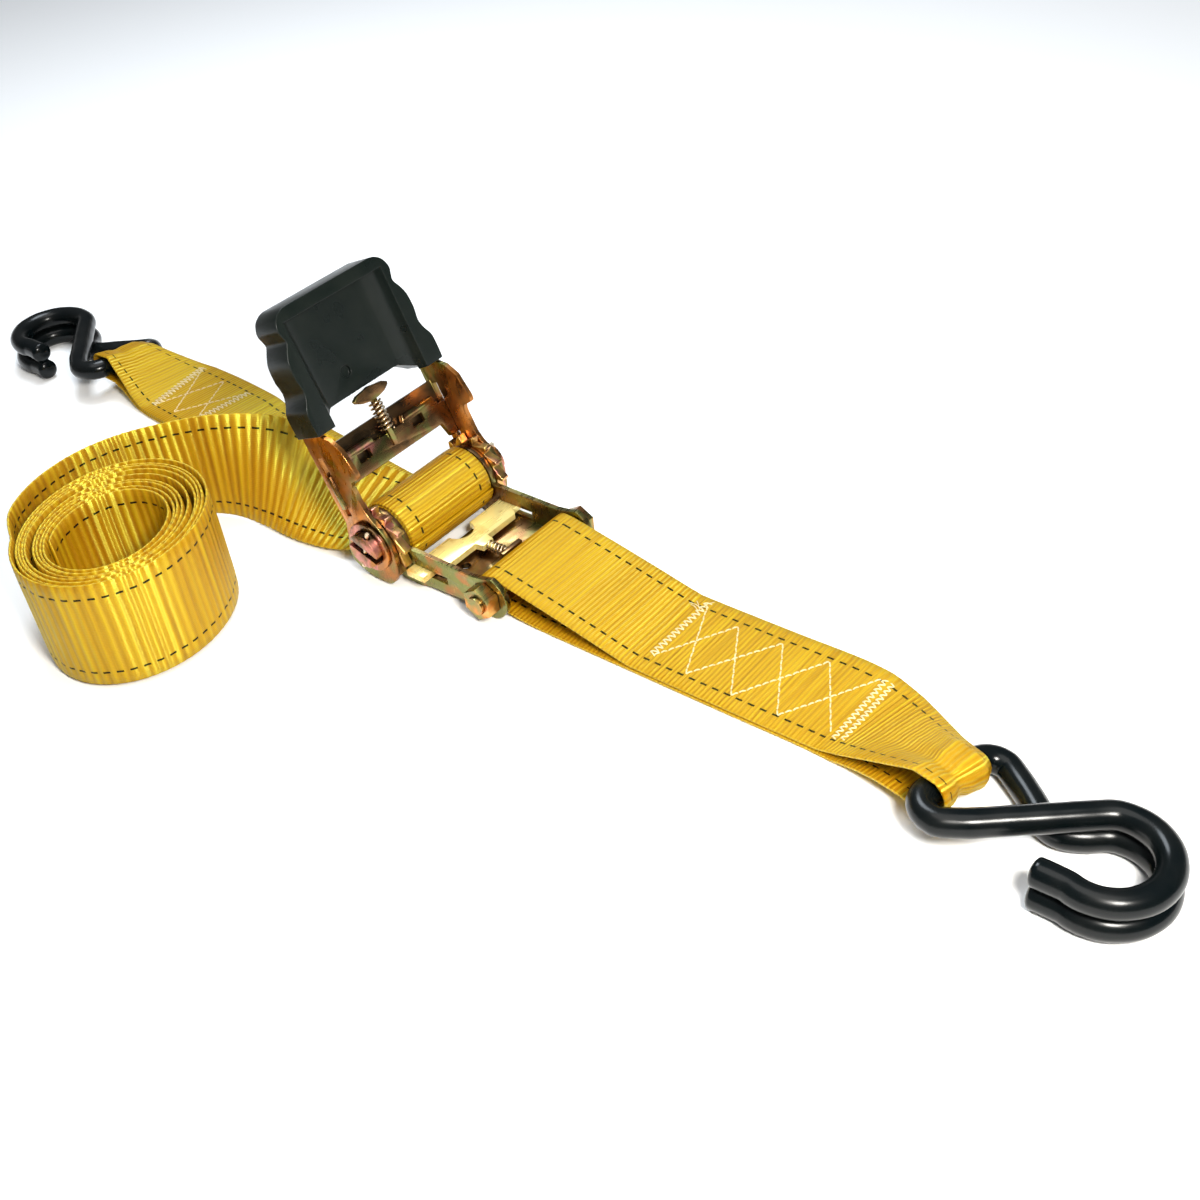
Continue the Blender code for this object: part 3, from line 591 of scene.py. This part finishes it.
def strap(name, stations, mat, body, node, step, pitch, depth, closed=False, thick=WEB_THICK,
          columns=14):
    """Webbing along stations of (left, right, fold depth), with ribs in its thickness."""
    left, right, normal, at, fold = strap_surface(stations, step, closed)
    t = np.linspace(0.0, 1.0, columns + 1)
    edge = np.abs(2 * t[None, :] - 1)
    rng = np.random.default_rng(RIB_SEED)
    loud = wander(rng, at, 9.0, 40, 0.55, 1.25)
    sway = wander(rng, at, 25.0, 60, -0.8, 0.8)
    rib = depth * loud * np.cos(TAU * at / pitch + sway)
    # half thickness: the ribs flatten and the webbing thins towards its edges, which end
    # in a bead; the pleats run along it
    half = 0.5 * thick + rib[:, None] * (1 - 0.6 * edge ** 6)
    half = half * (1 - 0.22 * edge ** 10)
    base = left[:, None, :] + (right - left)[:, None, :] * t[None, :, None]
    pleat = fold[:, None] * (np.cos(TAU * 1.5 * (t[None, :] - 0.06))
                             + 0.35 * np.cos(TAU * 3.5 * t[None, :] + 0.8))
    base = base + normal[:, None, :] * pleat[:, :, None]
    top = base + normal[:, None, :] * half[:, :, None]
    bottom = base - normal[:, None, :] * half[:, :, None]
    out = (right - left) / np.linalg.norm(right - left, axis=1)[:, None]
    bead = (0.28 + 0.10 * np.cos(TAU * at / pitch))[:, None]
    right_edge = (base[:, -1, :] + out * bead)[:, None, :]
    left_edge = (base[:, 0, :] - out * bead)[:, None, :]
    rings = np.concatenate([top, right_edge, bottom[:, ::-1, :], left_edge], axis=1)
    u = np.concatenate([t, [1.0], t[::-1], [0.0]])
    uv = np.stack(np.broadcast_arrays(u[None, :], (at / MAP_LENGTH)[:, None]), axis=2)
    mesh = mesh_from_rings(name, rings, closed, uv)
    return piece(name, mesh, mat, body, "yellow_webbing", node), float(at[-1]) * 0.001


def dome_rings(ring, centre, direction, r, dome):
    """Ever smaller rings that round off the end of a wire."""
    made = []
    for a in (0.25, 0.5, 0.72, 0.9, 0.98):
        shrink, rise = math.cos(a * math.pi / 2), math.sin(a * math.pi / 2)
        made.append(centre + (ring - centre) * shrink + direction * r * dome * rise)
    return np.array(made)


def tube(points, radius, sides, dome=0.0):
    """Rings of a round wire that turns without twisting; radius may vary along it."""
    points = np.asarray(points, float)
    radius = np.broadcast_to(np.asarray(radius, float), len(points)).copy()
    along = np.gradient(points, axis=0)
    along /= np.linalg.norm(along, axis=1)[:, None]
    side = Vector(along[0]).orthogonal().normalized()
    rings = []
    angles = np.arange(sides) * TAU / sides
    for p, d, r in zip(points, along, radius):
        d = Vector(d)
        side = (side - d * side.dot(d)).normalized()
        other = d.cross(side)
        rings.append([Vector(p) + (side * math.cos(a) + other * math.sin(a)) * float(r)
                      for a in angles])
    rings = np.array(rings)
    if not dome:
        return rings
    start = dome_rings(rings[0], points[0], -along[0], radius[0], dome)[::-1]
    end = dome_rings(rings[-1], points[-1], along[-1], radius[-1], dome)
    return np.concatenate([start, rings, end])


# ---------------------------------------------------------------- straps
def level(x, y, z, width, heading, tilt=0.0, fold=0.0):
    """Edges of webbing lying across a heading, with its -Y edge raised by tilt."""
    across = Vector((-math.sin(heading), math.cos(heading) * math.cos(tilt), -math.sin(tilt)))
    half = across * (0.5 * width)
    centre = Vector((x, y, z))
    return (*(centre - half), *(centre + half), fold)


def ramp_up(x, start, reach):
    """0 up to start, then rising to 1 over reach."""
    return max(0.0, min(1.0, (x - start) / reach))


def flat_run(path, side, tilt_ramp, fold, fold_ramp):
    """Stations along a path; side is the sign of the X end where it tilts and folds."""
    rows = []
    for x, y, z, width, turn in path:
        tilt = EYE_TILT * ramp_up(side * x, *tilt_ramp)
        rows.append(level(x, y, z, width, math.radians(side * turn), tilt,
                          fold * ramp_up(side * x, *fold_ramp)))
    return rows


def eye_run(x, y, reach_x, reach_y, heading, fold):
    """Stations round the eye of a hook, from the strap's upper layer to its lower one."""
    rows = []
    for a in range(60, -61, -12):
        c, s = math.cos(math.radians(a)), math.sin(math.radians(a))
        rows.append(level(x + reach_x * c, y + reach_y * c, EYE_HEIGHT + EYE_RADIUS * s,
                          EYE_WIDTH, math.radians(heading), EYE_TILT, fold))
    return rows


def fixed_strap_stations():
    """Closed loop: out to the hook, round its eye, back below and round the anchor bolt."""
    upper = spline([(61.5, 0, 17.6, 50, 0), (80, 0, 13.8, 50, 0), (104, 0, 8.4, 50, 0),
                    (124, 0, 3.7, 50, 0), (132, 0, 2.95, 50, 0), (170, 0, 2.95, 50, 0),
                    (205, 0.2, 2.95, 50, -2), (224, -3.0, 4.5, 46, -10),
                    (243, -11.0, 11.0, 38, -14), (257, -18.0, 18.4, 31, -8)], 8)
    lower = spline([(257, -18.0, 4.9, 31, -8), (243, -11.0, 4.0, 38, -14),
                    (224, -3.0, 1.4, 46, -10), (205, 0.2, 1.1, 50, -2), (170, 0, 1.1, 50, 0),
                    (132, 0, 1.1, 50, 0), (104, 0, 1.1, 50, 0), (80, 0, 1.2, 50, 0),
                    (63.5, 0, 2.9, 50, 0)], 8)
    rows = flat_run(upper, 1, (214, 40), 1.1, (226, 30))
    rows += eye_run(261.7, -19.5, 7, -0.98, -8, 1.1)
    rows += flat_run(lower, 1, (222, 34), 1.1, (232, 24))
    for a in range(260, 99, -10):
        c, s = math.cos(math.radians(a)), math.sin(math.radians(a))
        rows.append(level(BOLT_X + BOLT_LOOP * c, 0, BOLT_Z + BOLT_LOOP * s, WEB_WIDTH, 0.0))
    rows.append(rows[0])
    return np.array(rows)


def hook_strap_stations():
    """From under the spindle out to the hook, round its eye and back under itself."""
    path = spline([(-4, 0.3, 3.0, 50, 0), (-16, 1.4, 2.5, 50, 5), (-30, 3.2, 1.5, 50, 7),
                   (-60, 7, 1.1, 50, 7), (-110, 13.2, 1.1, 50, 7), (-148, 17.8, 1.3, 50, 7),
                   (-160, 19.2, 2.95, 50, 6), (-190, 22.2, 2.95, 50, 5), (-214, 24, 3.3, 48, 3),
                   (-230, 23.4, 9.6, 40, 0), (-243.5, 21.2, 18.2, 31, -5)], 8)
    back = spline([(-244, 21.2, 4.8, 31, -5), (-231, 23.4, 3.7, 40, 0), (-214, 24, 1.2, 48, 3),
                   (-190, 22.2, 1.1, 50, 5), (-166, 19.9, 1.1, 50, 6)], 8)
    rows = flat_run(path, -1, (212, 34), -0.5, (218, 26))
    rows += eye_run(-248.6, 20.5, -7, -0.63, 5, -0.5)
    rows += flat_run(back, -1, (218, 28), -0.5, (222, 20))
    return np.array(rows)


def oval(angle, long_axis, short_axis):
    """Radius of an ellipse that leans by COIL_LEAN."""
    a = angle - math.radians(COIL_LEAN)
    return long_axis * short_axis / math.hypot(short_axis * math.cos(a), long_axis * math.sin(a))


def tail_stations():
    """Flat at the spindle, up onto its edge, then a standing coil of nine turns."""
    edges = [(-9, -25, 5.1, -9, 25, 5.1), (-16, -25.4, 4.6, -17, 24.5, 5.6),
             (-24, -30, 4.0, -29, 19.2, 11), (-36, -34, 3.0, -43, 13.5, 17),
             (-55, -36, 2.2, -62, 5, 30), (-75, -35.5, 1.6, -80, -11, 45),
             (-95, -37, 1.3, -97, -29.5, 50.8), (-111.5, -46, 1.2, -111.5, -46, 51.2),
             (-123.5, -65, 1.2, -123.5, -65, 51.2), (-128.5, -86, 1.2, -128.5, -86, 51.2),
             (-125.5, -108, 1.2, -125.5, -108, 51.2), (-114.5, -127, 1.2, -114.5, -127, 51.2)]
    turns = len(COIL_STEPS) - 1
    coil = []
    for i in range(turns * COIL_PER_TURN + 1):
        turn = i / COIL_PER_TURN
        a = math.radians(COIL_START) + TAU * i / COIL_PER_TURN
        inward = np.interp(turn, range(turns + 1), COIL_STEPS)
        r = (1 - inward) * oval(a, *COIL_OUTER) + inward * oval(a, *COIL_INNER)
        x = COIL_CENTRE[0] + COIL_DRIFT[0] * inward + r * math.cos(a)
        y = COIL_CENTRE[1] + COIL_DRIFT[1] * inward + r * math.sin(a)
        lift = 0.5 * math.sin(3.1 * i / COIL_PER_TURN + 0.6)
        coil.append((x, y, COIL_EDGES[0] + max(0.0, lift), x, y, COIL_EDGES[1] + min(0.6, lift)))
    rows = np.vstack([spline(edges + coil[:1], 8)[:-1], np.array(coil)])
    return np.column_stack([rows, np.zeros(len(rows))])


def roll_stations():
    """Layers wound on the spindle, from the slot out to the last turn."""
    rows = []
    inner, outer = ROLL_RADII
    count = int(ROLL_TURNS * ROLL_PER_TURN)
    for i in range(count + 1):
        a = math.radians(ROLL_START) + TAU * i / ROLL_PER_TURN
        r = inner + (outer - inner) * i / count
        x, z = r * math.cos(a), SPINDLE.z + r * math.sin(a)
        rows.append((x, -ROLL_HALF_WIDTH, z, x, ROLL_HALF_WIDTH, z, 0.0))
    return np.array(rows)


fixed_rows = fixed_strap_stations()
hook_rows = hook_strap_stations()
fixed_strap, fixed_length = strap("short_strap", fixed_rows, WEB_FINE, "fixed_strap",
                                  "fixed_strap", step=0.62, pitch=FINE_RIB, depth=0.05,
                                  closed=True)
hook_strap, hook_length = strap("long_strap_hook_end", hook_rows, WEB_FINE, "base",
                                "hook_strap", step=0.62, pitch=FINE_RIB, depth=0.05)
tail_strap, tail_length = strap("long_strap_loose_end", tail_stations(), WEB_LOOSE, "base",
                                "tail_strap", step=0.78, pitch=LOOSE_RIB, depth=0.16,
                                thick=THIN_WEB, columns=12)
roll, roll_length = strap("wound_layers", roll_stations(), WEB_FINE, "spindle",
                          "wound_webbing", step=0.5, pitch=FINE_RIB, depth=0.05,
                          thick=THIN_WEB)


# ---------------------------------------------------------------- stitching
class Stitcher:
    """Lays short thread loops on top of a strap, at (x, y) in the layout."""

    def __init__(self, stations, select):
        left, right, normal, _, _ = strap_surface(stations, 0.6)
        middle = 0.5 * (left + right)
        keep = select(middle)
        self.middle, self.normal = middle[keep], normal[keep]
        self.rings = []

    def surface(self, x, y):
        """Point of the strap's upper face at (x, y), and its normal."""
        # the nearest station along the strap, which mostly follows X
        i = int(np.argmin(np.hypot(self.middle[:, 0] - x, (self.middle[:, 1] - y) * 0.05)))
        n = self.normal[i] * (1 if self.normal[i][2] > 0 else -1)
        m = self.middle[i]
        z = m[2] - ((x - m[0]) * n[0] + (y - m[1]) * n[1]) / n[2]
        return Vector((x, y, z)) + Vector(n) * (0.5 * WEB_THICK), Vector(n)

    def stitch(self, x0, y0, x1, y1, radius=THREAD_RADIUS, arch=0.30):
        """One thread loop whose ends go down into the webbing."""
        a, n = self.surface(x0, y0)
        b, _ = self.surface(x1, y1)
        points = []
        for k in range(7):
            t = k / 6
            lift = -0.16 + (arch + 0.16) * math.sin(math.pi * t) ** 0.7 if 0 < t < 1 else -0.30
            points.append(a + (b - a) * t + n * lift)
        self.rings.append(tube(points, radius, 8))

    def line(self, p, q):
        """Single stitches from p to q, a little to either side in turn."""
        p, q = Vector((*p, 0)), Vector((*q, 0))
        count = max(1, round((q - p).length / STITCH_PITCH))
        side = Vector((-(q - p).y, (q - p).x, 0)).normalized()
        for k in range(count):
            a = p + (q - p) * (k / count)
            b = p + (q - p) * ((k + 1) / count)
            gap = (b - a).normalized() * STITCH_GAP * 0.5
            turn = side * (STITCH_WOBBLE * (1 if k % 2 else -1))
            self.stitch(*(a + gap + turn)[:2], *(b - gap - turn)[:2])

    def bar(self, p, q, width=3.4, pitch=1.35):
        """A dense bartack that zigzags about the line from p to q."""
        p, q = Vector((*p, 0)), Vector((*q, 0))
        count = round((q - p).length / pitch)
        step = (q - p) / count
        side = Vector((-(q - p).y, (q - p).x, 0)).normalized() * (0.5 * width)
        for k in range(count):
            a = p + step * k + side * (1 if k % 2 else -1)
            b = p + step * (k + 1) - side * (1 if k % 2 else -1)
            self.stitch(*a[:2], *b[:2], radius=0.29, arch=0.34)

    def finish(self, name, body):
        """All the stitches as one piece."""
        verts, faces = [], []
        for rings in self.rings:
            count, size = rings.shape[:2]
            new = wall(count, size).tolist() + ends(count, size)
            faces += [[k + len(verts) for k in face] for face in new]
            verts += [world(p) for p in rings.reshape(-1, 3)]
        mesh = bpy.data.meshes.new(name)
        mesh.from_pydata(verts, [], faces)
        smooth(mesh)
        return piece(name, mesh, THREAD_LOOK, body, "yellow_webbing")


def sew_fixed():
    """Two zigzag lines between bartacks, and four frayed thread ends."""
    sewing = Stitcher(fixed_rows, lambda m: (m[:, 0] > 118) & (m[:, 0] < 232) & (m[:, 2] > 2.0))
    top = [(133.0, 20.5), (151, 16.0), (171.3, 16.6), (192, 17.2), (213.5, 18.6)]
    low = [(132.5, -15.5), (149.5, -17.6), (171, -18.4), (191.3, -18.2), (212.5, -15.5)]
    for i in range(4):
        sewing.line(top[i], low[i + 1])
        sewing.line(low[i], top[i + 1])
    sewing.bar((131.6, -15.6), (132.4, 22.0))
    sewing.bar((215.2, -18.5), (215.2, 19.0), width=2.6)
    sewing.bar((218.6, -18.0), (218.6, 18.6), width=2.6)
    for k, (dx, dy) in enumerate([(-4.5, 1.2), (-3.4, 3.0), (-5.2, -0.6), (3.6, 3.4)]):
        a, n = sewing.surface(131.8, 15.5 + k)
        tip = a + Vector((dx, dy, 0)) + n * (0.8 + 0.3 * k)
        bend = a + Vector((dx, dy, 0)) * 0.45 + n * 1.3
        sewing.rings.append(tube(spline([tuple(a), tuple(bend), tuple(tip)], 4), 0.16, 6))
    return sewing.finish("short_strap_stitching", "fixed_strap")


def sew_hook():
    """Two crossed V lines between bartacks."""
    sewing = Stitcher(hook_rows, lambda m: (m[:, 0] > -226) & (m[:, 0] < -150) & (m[:, 2] > 2.2))
    a_low, a_top = (-209.5, 5.0), (-215.5, 43.5)
    b_low, b_top = (-176.5, 7.5), (-172.0, 38.5)
    mid_low = ((a_low[0] + b_low[0]) / 2, 5.8)
    mid_top = ((a_top[0] + b_top[0]) / 2, 40.0)
    for p, q in ((a_low, mid_top), (mid_top, b_low), (a_top, mid_low), (mid_low, b_top)):
        sewing.line(p, q)
    sewing.bar(a_low, a_top, width=4.6, pitch=1.2)
    sewing.bar(b_low, b_top, width=4.6, pitch=1.2)
    return sewing.finish("long_strap_stitching", "base")


short_stitching = sew_fixed()
long_stitching = sew_hook()


# ---------------------------------------------------------------- hooks
def arc(cx, cy, radius, start, end, steps):
    """Points of an arc, from start to end in degrees."""
    points = []
    for i in range(steps + 1):
        a = math.radians(start + (end - start) * i / steps)
        points.append((cx + radius * math.cos(a), cy + radius * math.sin(a)))
    return points


def hook_plan():
    """Centre line of the bent wire from tip to tip: (from the eye, across, height)."""
    low, high, eye = 5.2, 15.6, 11.6
    bowl = arc(59, 3, 18.5, 100, -112, 26)
    upper = [(46, 22.6, high), (51, 21.8, high)] + [(a, b, high) for a, b in bowl]
    bend = [(49.7, -12.6), (47.6, -10.6)]
    shank = [(45.5, -8.4), (42.3, -5.1), (39, -1.6), (33, 4.6), (27, 10.8), (22, 16), (18, 20)]
    upper += [(a, b, high) for a, b in bend + shank]
    upper += [(a, b, 15.5 - 0.4 * i / 7) for i, (a, b) in enumerate(arc(8.5, 17, 8.5, 70, 180, 7))]
    middle = [(0.0, b, eye + (b - 2.0) * math.tan(EYE_TILT)) for b in (10.0, 2.0, -5.0)]
    lower = [(a, b, 8.6 - 2.8 * i / 7)
             for i, (a, b) in enumerate(arc(7.5, -10.5, 7.5, 180, 285, 7))]
    lower += [(16, -14.6, low), (23, -10.5, low), (31, -5.2, low), (35, -3.8, low),
              (38.5, -4.0, low), (42.2, -5.8, low), (45.5, -8.4, low)]
    lower += [(a, b, low) for a, b in bend[::-1] + bowl[::-1]]
    lower += [(51, 21.8, low), (46, 22.6, low)]
    return upper + middle + lower


def hook(name, node, eye, heading):
    """Double J hook in its dipped coat, which is thicker at the tips and slightly uneven.

    eye is where the plan starts and heading where it points; the plan is mirrored for a
    hook that points to -X.
    """
    along = (math.cos(heading), math.sin(heading))
    flip = 1.0 if along[0] > 0 else -1.0
    across = (flip * along[1], -flip * along[0])
    points = [(eye[0] + along[0] * a + across[0] * b,
               eye[1] + along[1] * a + across[1] * b, z) for a, b, z in hook_plan()]
    line, at = spaced(spline(points, 4), 1.1)
    from_tip = np.minimum(at, at[-1] - at)
    radius = (HOOK_RADIUS + 0.10 * np.exp(-(from_tip / 7.0) ** 2)
              + 0.035 * np.sin(at * 0.21) + 0.025 * np.sin(at * 0.57))
    mesh = mesh_from_rings(name, tube(line, radius, 26, dome=0.42))
    piece(name, mesh, VINYL_LOOK, node, "black_vinyl", node)


hook("short_strap_double_hook", "fixed_hook", (262.0, -16.0), math.radians(-8))
hook("long_strap_double_hook", "long_hook", (-249.0, 24.0), math.radians(185))


# ---------------------------------------------------------------- ratchet
def coil_spring(name, node, body, start, axis, length, radius, wire, turns):
    """Compression spring, wound from start along axis."""
    ahead = Vector(axis).normalized()
    side = ahead.orthogonal().normalized()
    other = ahead.cross(side)
    points = []
    for i in range(SPRING_PER_TURN * turns + 1):
        a = TAU * i / SPRING_PER_TURN
        points.append(Vector(start) + ahead * (length * i / (SPRING_PER_TURN * turns))
                      + side * (radius * math.cos(a)) + other * (radius * math.sin(a)))
    mesh = mesh_from_rings(name, tube(points, wire, 8, dome=0.5))
    obj = piece(name, mesh, SPRING_LOOK, body, "spring_steel", node)
    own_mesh(obj)


# node, look, body and rounding of its edges in millimetres
METAL = [
    ("base_frame", FRAME_LOOK, "base", 0.45),
    ("anchor_bolt", BOLT_LOOK, "base", 0.5),
    ("anchor_nut", BOLT_LOOK, "base", 0.7),
    ("lock_pawl", LOCK_LOOK, "lock_pawl", 0.4),
    ("spindle_upper_half", SPINDLE_LOOK, "spindle", 0.9),
    ("spindle_lower_half", SPINDLE_LOOK, "spindle", 0.9),
    ("ratchet_wheel_near", WHEEL_LOOK, "spindle", 0.25),
    ("ratchet_wheel_far", WHEEL_LOOK, "spindle", 0.25),
    ("end_washer_near", SPINDLE_LOOK, "spindle", 0.3),
    ("end_washer_far", SPINDLE_LOOK, "spindle", 0.3),
    ("handle_frame", HANDLE_LOOK, "handle", 0.45),
    ("drive_pawl", PAWL_LOOK, "drive_pawl", 0.45),
]
for node_name, look, body_name, edge in METAL:
    slot_name = "bright_plated_steel" if node_name.endswith("_pawl") else "plated_steel"
    refine(node_name, look, body_name, slot_name, edge)
for node_name in ("split_pin_near", "split_pin_far"):
    refine(node_name, SPRING_LOOK, "spindle", "spring_steel", 0.2)
refine("handle_grip", GRIP_LOOK, "handle", "black_grip", 1.5, segments=4, angle=30)

tilt = Matrix.Rotation(HANDLE_TILT, 3, "Y")
coil_spring("drive_pawl_spring", "drive_spring", "handle",
            start=tilt @ Vector((-3.45, 0, 36.4)) + SPINDLE, axis=tilt @ Vector((0, 0, 1)),
            length=13.8, radius=2.75, wire=0.45, turns=7)
coil_spring("lock_pawl_spring", "lock_spring", "base", start=(33.6, 0, 9.0), axis=(1, 0, 0),
            length=11.2, radius=2.1, wire=0.4, turns=6)

camera()
studio()
